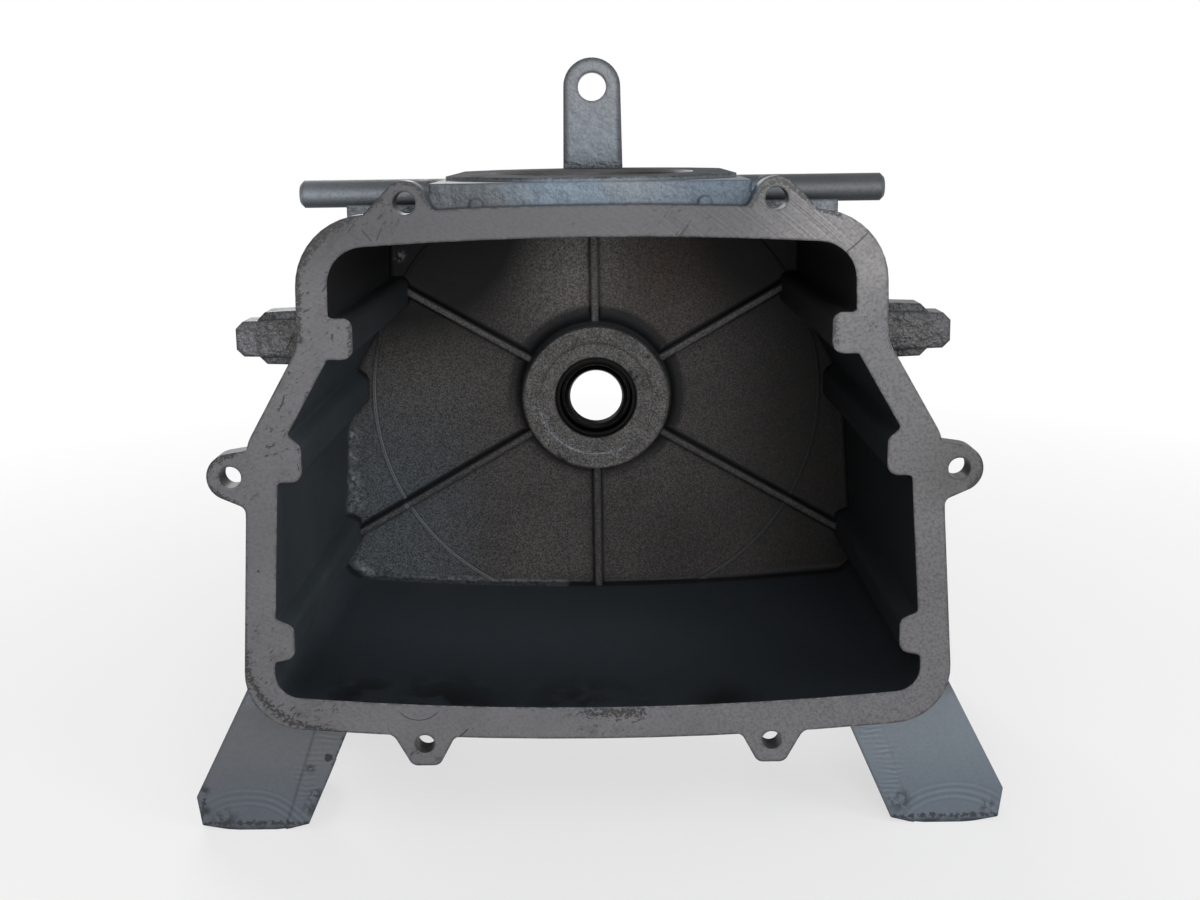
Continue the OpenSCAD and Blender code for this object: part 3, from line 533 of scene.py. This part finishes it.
coarse = add(tree, "ShaderNodeBump", {
    "Height": lumps, "Strength": 0.4, "Distance": 0.5 * mm, "Normal": rounded}).outputs[0]
beaded = add(tree, "ShaderNodeBump", {
    "Height": bead, "Strength": 1.0, "Distance": 0.8 * mm, "Normal": coarse}).outputs[0]
sandy = add(tree, "ShaderNodeBump", {
    "Height": sand, "Strength": 0.9, "Distance": 0.45 * mm, "Normal": beaded}).outputs[0]
tree.links.new(sandy, shader.inputs["Normal"])

# Grey iron cut by a face mill: an even warm grey with faint arcs left by the wide cutter, a
# painted sheen on the right shoulder, and painted shade along the top and the right rim. Open pores and
# short dark scratches lie mostly at the left corners, and dirt along the edges. The cutter's marks are
# finer than the 0.5 mm drawn here.
cutter_x, cutter_z, cut_pitch = -270 * mm, -320 * mm, 0.5 * mm
fleck_size, grime_size, shade_size = 0.7 * mm, 0.8 * mm, 18 * mm
scratch_lean, scratch_bend, bend_size = -38, 7 * mm, 6 * mm


def strokes(tree, where, cuts):
    """1 along thin scratches in the plane of the flange. Each has the x and z of its middle, its
    heading in degrees, the radius of its bend, its half length and its width, in millimetres."""
    parts = []
    for x, z, heading, bend, half, width in cuts:
        turn = math.radians(heading)
        hub = ((x - bend * math.sin(turn)) * mm, front_y, (z + bend * math.cos(turn)) * mm)
        off = add(tree, "ShaderNodeVectorMath", {0: where, 1: hub}, operation="DISTANCE").outputs["Value"]
        off = add(tree, "ShaderNodeMath", {0: off, 1: bend * mm}, operation="SUBTRACT").outputs[0]
        off = add(tree, "ShaderNodeMath", {0: off}, operation="ABSOLUTE").outputs[0]
        spot = near(tree, where, [(x, front_y / mm, z, half)])
        parts.append(portion(tree, (off, width * 0.6 * mm, width * 0.3 * mm),
                             (spot, [(0.0, 0.0), (0.2, 1.0)])))
    return portion(tree, *parts, how="MAXIMUM")


milled, tree, shader = new_skin("face_milled_iron", {"Roughness": 0.5, "Metallic": 0.1})
where = add(tree, "ShaderNodeTexCoord").outputs["Object"]
place = add(tree, "ShaderNodeSeparateXYZ", {0: where}).outputs
front_spot = add(tree, "ShaderNodeCombineXYZ", {"X": place["X"], "Z": place["Z"]}).outputs[0]
sweep = add(tree, "ShaderNodeVectorMath", {0: where, 1: (cutter_x, front_y, cutter_z)},
            operation="DISTANCE").outputs["Value"]
cuts = add(tree, "ShaderNodeTexNoise", {"W": sweep, "Scale": 0.5 / cut_pitch, "Detail": 2},
           noise_dimensions="1D").outputs[0]
cloud, fleck, grime = [
    add(tree, "ShaderNodeTexNoise", {
        "Vector": where, "Scale": 0.5 / size, "Detail": detail, "Roughness": rough}).outputs[0]
    for size, detail, rough in ((shade_size, 4, 0.6), (fleck_size, 4, 0.6), (grime_size, 6, 0.75))]

# Painted light and shade, a darker right ear, the cutter's arcs and the iron's own fine flecks.
painted_sheen = portion(tree, near(tree, where, [(112, -182, 108, 52), (124, -182, 92, 24)]),
                (cloud, [(0.35, 0.7), (0.6, 1.0)]))
# Painted shade on the flange's right rim.
right_rim_shade = near(tree, where, [(150, -182, 0, 60), (160, -182, -60, 60)])
right_ear = near(tree, where, [(168, -182, -3, 32)])
arcs_share = portion(tree, near(tree, where, [(96, -182, 118, 70), (60, -182, 116, 60)]), 0.2,
                     how="MAXIMUM")
arcs_share = portion(tree, arcs_share, (cloud, [(0.35, 0.3), (0.65, 0.65)]))
tint = layered(tree, (cloud, [(0.35, "#636265"), (0.65, "#6c6b6e")]),
               # Painted shade along the top of the flange.
               ((place["Z"], 70 * mm, 112 * mm, 0.0, 0.85), "#49484b"),
               (painted_sheen, "#8c8a8b"),
               (portion(tree, right_rim_shade, 0.5), "#5c5a5b"),
               (portion(tree, right_ear, 0.8), "#4b494a"),
               (arcs_share, (cuts, [(0.38, "#8a8a8a"), (0.6, "#ffffff")]), "MULTIPLY"),
               ((place["X"], 0.0, 130 * mm, 0.35, 0.75),
                (fleck, [(0.34, "#aeaeae"), (0.56, "#ffffff")]), "MULTIPLY"))

# Where the face is scored: short slanting dashes in crowds, some longer scratches, and pores.
scored = near(tree, where, [
    (-118, -182, 100, 40), (-130, -182, 70, 30), (-168, -182, -2, 24), (-160, -182, -95, 34),
    (-140, -182, -125, 34), (-135, -182, 12, 26), (4, -182, -122, 26), (-88, -182, 121, 20),
    (-84, -182, -144, 16), (128, -182, 70, 16), (112, -182, 46, 14), (-132, -182, 40, 22),
    (40, -182, 110, 22)])
scored = portion(tree, (scored, [(0.0, 0.0), (0.5, 1.0)]))
bent = add(tree, "ShaderNodeTexNoise", {"Vector": where, "Scale": 0.5 / bend_size}).outputs["Color"]
bent = add(tree, "ShaderNodeVectorMath", {0: bent, 1: (scratch_bend,) * 3},
           operation="MULTIPLY").outputs[0]
bent = add(tree, "ShaderNodeVectorMath", {0: where, 1: bent}, operation="ADD").outputs[0]
slant = add(tree, "ShaderNodeMapping", {
    "Vector": bent, "Rotation": (0, math.radians(scratch_lean), 0), "Scale": (3, 1, 1)},
            vector_type="TEXTURE").outputs[0]
dashes = portion(tree, mottle(tree, slant, 0.8 * mm, [(0.37, 1.0), (0.41, 0.0)], detail=4),
                 mottle(tree, where, 7 * mm, [(0.4, 0.0), (0.5, 1.0)]), scored)
long_cuts = strokes(tree, where, [
    (-84, -121, 0, 12, 12, 0.5), (-63.6, -128, 42, 60, 4, 0.7), (40, 106.4, 52, 60, 3.5, 0.7),
    (117.7, 101, 42, 90, 8, 0.7), (-118, 85, 58, 60, 4, 0.8), (-140.4, 31.6, 66, 16, 5, 0.7),
    (-93.5, 107.5, 66, 40, 4, 0.6), (-99, 107, 130, 40, 4, 0.6)])
pores = mottle(tree, where, 1.6 * mm, [(0.265, 1.0), (0.295, 0.0)], detail=2)

# Dirt in the ragged edges, and grime in strips at the left edge, the corners, the ears, the
# top's inner edge and the lower tabs.
ragged = portion(tree, edge_share(tree, 3 * mm),
                 mottle(tree, where, 1.8 * mm, [(0.42, 0.0), (0.54, 1.0)], detail=4))
grimy = along(tree, front_spot, [
    (-162, -41, -164.6, -80, 4), (-164.6, -80, -163.2, -97.5, 4.5),
    (-163.2, -97.5, -156, -111.5, 4.5), (-156, -111.5, -144.8, -121.1, 4.8),
    (-144.8, -121.1, -121.5, -127, 4), (-121.5, -127, -100.5, -129.7, 3),
    (-131, 60, -130.5, 92, 3.5), (-130.5, 92, -125.8, 101, 6), (-125.8, 101, -116.5, 109.7, 8),
    (-116.5, 109.7, -106, 114.9, 7), (-106, 114.9, -92.4, 122.6, 4),
    (-176.4, 0, -174.6, 4.6, 4), (-174.6, 4.6, -162.2, 9.8, 4), (-176.2, -6.5, -171, -11.2, 4),
    (-171, -11.2, -163.6, -15.3, 3), (-4, -118, 20, -118, 7), (-90, -147, -76, -147, 5),
    (76, -147, 90, -147, 4), (-107.5, 50, -107.5, 66, 5), (108, 56, 108, 70, 5),
    (177, -3, 171, -12.5, 4), (175, 4, 177, -3, 3), (-94.6, 123.9, -89.5, 128.7, 3),
    (-89.5, 128.7, -83.3, 130.8, 3), (-83.3, 130.8, -76.8, 129, 3),
    (-76.8, 129, -70.6, 118.8, 2.5), (71, 117.8, 75.4, 125.6, 2.5), (75.4, 125.6, 81.5, 129, 3),
    (81.5, 129, 87.6, 127.2, 3), (87.6, 127.2, 100.9, 116.1, 3.5),
    (100.9, 116.1, 109.8, 112.9, 3), (-49, 103.1, -13.6, 104, 2.5), (-13.6, 104, 48.2, 104, 2)])
grime = add(tree, "ShaderNodeMath", {0: grime, 1: portion(tree, grimy, 0.23)},
            operation="ADD").outputs[0]
smear = portion(tree, scored, mottle(tree, where, 4 * mm, [(0.54, 0.0), (0.74, 0.45)], detail=6))
marks = portion(tree, dashes, pores, long_cuts, ragged, (grime, [(0.66, 0.0), (0.71, 1.0)]), smear,
                how="MAXIMUM")
tree.links.new(layered(tree, tint, (portion(tree, marks, 0.9), "#151314")), shader.inputs["Base Color"])
rounded = add(tree, "ShaderNodeBevel", {"Radius": 1.2 * mm}, samples=6).outputs[0]
grooved = add(tree, "ShaderNodeBump", {
    "Height": cuts, "Strength": 0.35, "Distance": 0.05 * mm, "Normal": rounded}).outputs[0]
tree.links.new(grooved, shader.inputs["Normal"])

# The cylinder's pad is milled like the flange, and drawn dull and nearly black.
dark_pad_skin, tree, shader = new_skin("dull_dark_milled_iron", {"Roughness": 0.8, "Specular IOR Level": 0.1})
where = add(tree, "ShaderNodeTexCoord").outputs["Object"]
tint = mottle(tree, where, 8 * mm, [(0.35, "#1f2123"), (0.6, "#3c4043")], detail=5)
tree.links.new(tint, shader.inputs["Base Color"])

# Grey iron bored in a lathe: a plain grey with faint rings round the crank axis, and black
# behind the seal with oil and painted shade. The tool's rings are finer than the 0.4 mm drawn here.
ring_pitch = 0.4 * mm
bored_skin, tree, shader = new_skin("bored_iron", {
    "Roughness": 0.45, "Metallic": 0.2, "Specular IOR Level": 0.25})
where = add(tree, "ShaderNodeTexCoord").outputs["Object"]
place = add(tree, "ShaderNodeSeparateXYZ", {0: where}).outputs
front_spot = add(tree, "ShaderNodeCombineXYZ", {"X": place["X"], "Z": place["Z"]}).outputs[0]
reach = add(tree, "ShaderNodeVectorMath", {0: front_spot}, operation="LENGTH").outputs["Value"]
depth = add(tree, "ShaderNodeMath", {0: reach, 1: place["Y"]}, operation="ADD").outputs[0]
rings = add(tree, "ShaderNodeTexNoise", {"W": depth, "Scale": 0.5 / ring_pitch, "Detail": 1},
            noise_dimensions="1D").outputs[0]
tint = layered(tree, mottle(tree, where, 9 * mm, [(0.3, "#4a4a4b"), (0.7, "#626263")], detail=4),
               (portion(tree, (reach, 26 * mm, 24.5 * mm), (place["Y"], -15 * mm, -17 * mm)), "#0a0a0b"),
               (0.4, (rings, [(0.35, "#777777"), (0.6, "#ffffff")]), "MULTIPLY"))
tree.links.new(tint, shader.inputs["Base Color"])
ringed = add(tree, "ShaderNodeBump", {"Height": rings, "Strength": 0.4, "Distance": 0.05 * mm}).outputs[0]
tree.links.new(ringed, shader.inputs["Normal"])

# The casting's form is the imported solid's. Each face gets the skin of its place: milled or
# bored where a cutter went, and as cast elsewhere, oiled within the walls. The lists give the
# inside's height and half width, and each hole's x, z and radius, in millimetres.
inner_half = [(105.0, 0.0), (101.0, 117.2), (53.0, 118.4), (8.8, 143.6), (-108.4, 151.3), (-115.6, 0.0)]
inner_low, inner_high = -116 * mm, 105.5 * mm
hub_bore_r, cylinder_low, chamfer = 33 * mm, 90 * mm, 2.2 * mm
bored = [(82, 121, 5), (165.9, -2.3, 5), (81.6, -133, 4.5), (0, 176.5, 8)]
hair = 0.05 * mm


def merged(node, name):
    """A new mesh of a CAD node's triangles, joined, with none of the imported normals."""
    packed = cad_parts[node].data
    mesh = bpy.data.meshes.new(name)
    mesh.from_pydata([v.co for v in packed.vertices], [], [tuple(p.vertices) for p in packed.polygons])
    work = bmesh.new()
    work.from_mesh(mesh)
    bmesh.ops.remove_doubles(work, verts=work.verts, dist=2e-6)
    work.to_mesh(mesh)
    work.free()
    return mesh


def placed(name, mesh):
    """An object of that mesh, at the origin."""
    thing = bpy.data.objects.new(name, mesh)
    bpy.context.scene.collection.objects.link(thing)
    return thing


def inner_wall(z):
    """Half width of the inside at height z, in metres."""
    for (z1, x1), (z0, x0) in zip(inner_half[1:], inner_half[2:-1]):
        if z0 * mm <= z <= z1 * mm:
            return (x0 + (x1 - x0) * (z / mm - z0) / (z1 - z0)) * mm
    return inner_half[1][1] * mm if z > 0 else inner_half[4][1] * mm


def finish_of(face):
    """Which skin a face of the casting has, by its place in the list of its skins."""
    cast_outside, cast_inside, milled_face, bored_hole, dark_pad = range(5)
    c, n = face.center, face.normal
    if n.y < -0.99 and abs(c.y - front_y) < hair:
        return milled_face
    if n.z > 0.99 and abs(c.z - deck_z) < hair:
        return dark_pad
    if n.z < -0.99 and abs(c.z - ground_z) < hair:
        return milled_face
    if n.y > 0.99 and abs(c.y - back_y) < hair:
        return bored_hole
    if math.hypot(c.x, c.z) < hub_bore_r and c.y > hub_y + 1 * mm:
        return bored_hole
    off_cylinder = math.hypot(c.x, c.y - cylinder_y) - cylinder_r
    if abs(off_cylinder) < chamfer and c.z > cylinder_low and abs(n.z) < 0.9:
        return bored_hole
    if abs(n.y) < 0.1:
        for x, z, r in bored:
            if math.hypot(abs(c.x) - x * mm, c.z - z * mm) < (r + 0.1) * mm:
                return bored_hole
    if (front_y < c.y < rear_wall_y + 0.1 * mm and abs(c.x) < inner_wall(c.z) + 0.5 * mm
            and inner_low < c.z < inner_high):
        return cast_inside
    return cast_outside


casting_mesh = merged("crankcase", "casting")
for skin in (outside, inside, milled, bored_skin, dark_pad_skin):
    casting_mesh.materials.append(skin)
for face in casting_mesh.polygons:
    face.material_index = finish_of(face)
    face.use_smooth = True
casting_mesh.set_sharp_from_angle(angle=math.radians(28))
casting = placed("casting", casting_mesh)
even = casting.modifiers.new("even", "WEIGHTED_NORMAL")
even.keep_sharp = True
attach(casting, "root")
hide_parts("crankcase")

# The shaft seal is moulded in black nitrile rubber round a steel ring and pressed into
# the hub. Its lip faces the crank, and the oil on it gives it a thin shine. The fine dimples
# of the rubber are drawn at 0.6 mm, or they would not show.
dimple_size = 0.6 * mm
rubber, tree, shader = new_skin("oily_nitrile_rubber", {
    "Base Color": linear("#030304"), "Roughness": 0.3, "IOR": 1.52, "Specular IOR Level": 0.06})
where = add(tree, "ShaderNodeTexCoord").outputs["Object"]
dimples = add(tree, "ShaderNodeTexNoise", {
    "Vector": where, "Scale": 0.5 / dimple_size, "Detail": 3, "Roughness": 0.6}).outputs[0]
dimpled = add(tree, "ShaderNodeBump", {"Height": dimples, "Strength": 0.3, "Distance": 0.1 * mm}).outputs[0]
tree.links.new(dimpled, shader.inputs["Normal"])

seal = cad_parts["seal_body"]
seal.data.materials.clear()
seal.data.materials.append(rubber)

# The seal's steel ring is pressed from bare strip. The rubber is moulded round it and covers
# it, so that it only shows where the seal is cut open.
strip_steel, tree, shader = new_skin("pressed_strip_steel", {"Metallic": 1.0})
where = add(tree, "ShaderNodeTexCoord").outputs["Object"]
tree.links.new(mottle(tree, where, 3 * mm, [(0.3, "#8b8b8c"), (0.7, "#a2a2a3")]),
               shader.inputs["Base Color"])
tree.links.new(mottle(tree, where, 1 * mm, [(0.3, 0.32), (0.7, 0.45)]), shader.inputs["Roughness"])
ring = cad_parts["seal_ring"]
ring.data.materials.clear()
ring.data.materials.append(strip_steel)

# The garter spring is a long thin coil spring, closed on itself, that lies in a groove
# behind the lip. It is made of drawn wire, wound close: its turns are one repeated curve.
spring_r, spring_y = 18.39 * mm, -24.45 * mm
coil_r, wire_r, wire_sides, turns, steps = 0.8 * mm, 0.2 * mm, 6, 230, 12

spring_steel, tree, shader = new_skin("drawn_spring_wire", {"Metallic": 1.0})
where = add(tree, "ShaderNodeTexCoord").outputs["Object"]
tree.links.new(mottle(tree, where, 1.5 * mm, [(0.3, "#2c2926"), (0.7, "#4a4642")]),
               shader.inputs["Base Color"])
tree.links.new(mottle(tree, where, 0.5 * mm, [(0.3, 0.3), (0.7, 0.42)]), shader.inputs["Roughness"])

coil = bpy.data.node_groups.new("wound_ring", "GeometryNodeTree")
for name, kind in (("Ring radius", "NodeSocketFloat"), ("Coil radius", "NodeSocketFloat"),
                   ("Wire radius", "NodeSocketFloat"), ("Turns", "NodeSocketInt"),
                   ("Steps a turn", "NodeSocketInt"), ("Wire", "NodeSocketMaterial")):
    coil.interface.new_socket(name, in_out="INPUT", socket_type=kind)
coil.interface.new_socket("Spring", in_out="OUTPUT", socket_type="NodeSocketGeometry")
given = add(coil, "NodeGroupInput").outputs
count = add(coil, "ShaderNodeMath", {0: given["Turns"], 1: given["Steps a turn"]},
            operation="MULTIPLY").outputs[0]
path = add(coil, "GeometryNodeCurvePrimitiveCircle", {"Resolution": count, "Radius": 1.0})
number = add(coil, "GeometryNodeInputIndex").outputs[0]
gone = add(coil, "ShaderNodeMath", {0: number, 1: count}, operation="DIVIDE").outputs[0]
round_ring = add(coil, "ShaderNodeMath", {0: gone, 1: math.tau}, operation="MULTIPLY").outputs[0]
round_coil = add(coil, "ShaderNodeMath", {0: round_ring, 1: given["Turns"]},
                 operation="MULTIPLY").outputs[0]
ring_cos, ring_sin, coil_cos, coil_sin = [
    add(coil, "ShaderNodeMath", {0: angle}, operation=kind).outputs[0]
    for angle in (round_ring, round_coil) for kind in ("COSINE", "SINE")]
outward, back = [
    add(coil, "ShaderNodeMath", {0: swing, 1: given["Coil radius"], 2: middle},
        operation="MULTIPLY_ADD").outputs[0]
    for swing, middle in ((coil_cos, given["Ring radius"]), (coil_sin, spring_y))]
across, high = [
    add(coil, "ShaderNodeMath", {0: side, 1: outward}, operation="MULTIPLY").outputs[0]
    for side in (ring_cos, ring_sin)]
spot = add(coil, "ShaderNodeCombineXYZ", {"X": across, "Y": back, "Z": high}).outputs[0]
wound = add(coil, "GeometryNodeSetPosition", {"Geometry": path.outputs["Curve"], "Position": spot})
section = add(coil, "GeometryNodeCurvePrimitiveCircle", {
    "Resolution": wire_sides, "Radius": given["Wire radius"]})
wire = add(coil, "GeometryNodeCurveToMesh", {
    "Curve": wound.outputs[0], "Profile Curve": section.outputs["Curve"]})
whole = add(coil, "GeometryNodeRealizeInstances", {"Geometry": wire.outputs[0]})
dressed = add(coil, "GeometryNodeSetMaterial", {"Geometry": whole.outputs[0], "Material": given["Wire"]})
add(coil, "NodeGroupOutput", {"Spring": dressed.outputs[0]})

spring = placed("wound_spring", bpy.data.meshes.new("wound_spring"))
winding = spring.modifiers.new("winding", "NODES")
winding.node_group = coil
values = {"Ring radius": spring_r, "Coil radius": coil_r - wire_r, "Wire radius": wire_r, "Turns": turns,
          "Steps a turn": steps, "Wire": spring_steel}
for item in coil.interface.items_tree:
    if item.in_out == "INPUT":
        winding[item.identifier] = values[item.name]
bpy.context.view_layer.update()
shaped = spring.evaluated_get(bpy.context.evaluated_depsgraph_get())
spring_mesh = bpy.data.meshes.new_from_object(shaped)
spring.modifiers.clear()
spring.data = spring_mesh
for face in spring_mesh.polygons:
    face.use_smooth = True
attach(spring, "root")
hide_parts("garter_spring")
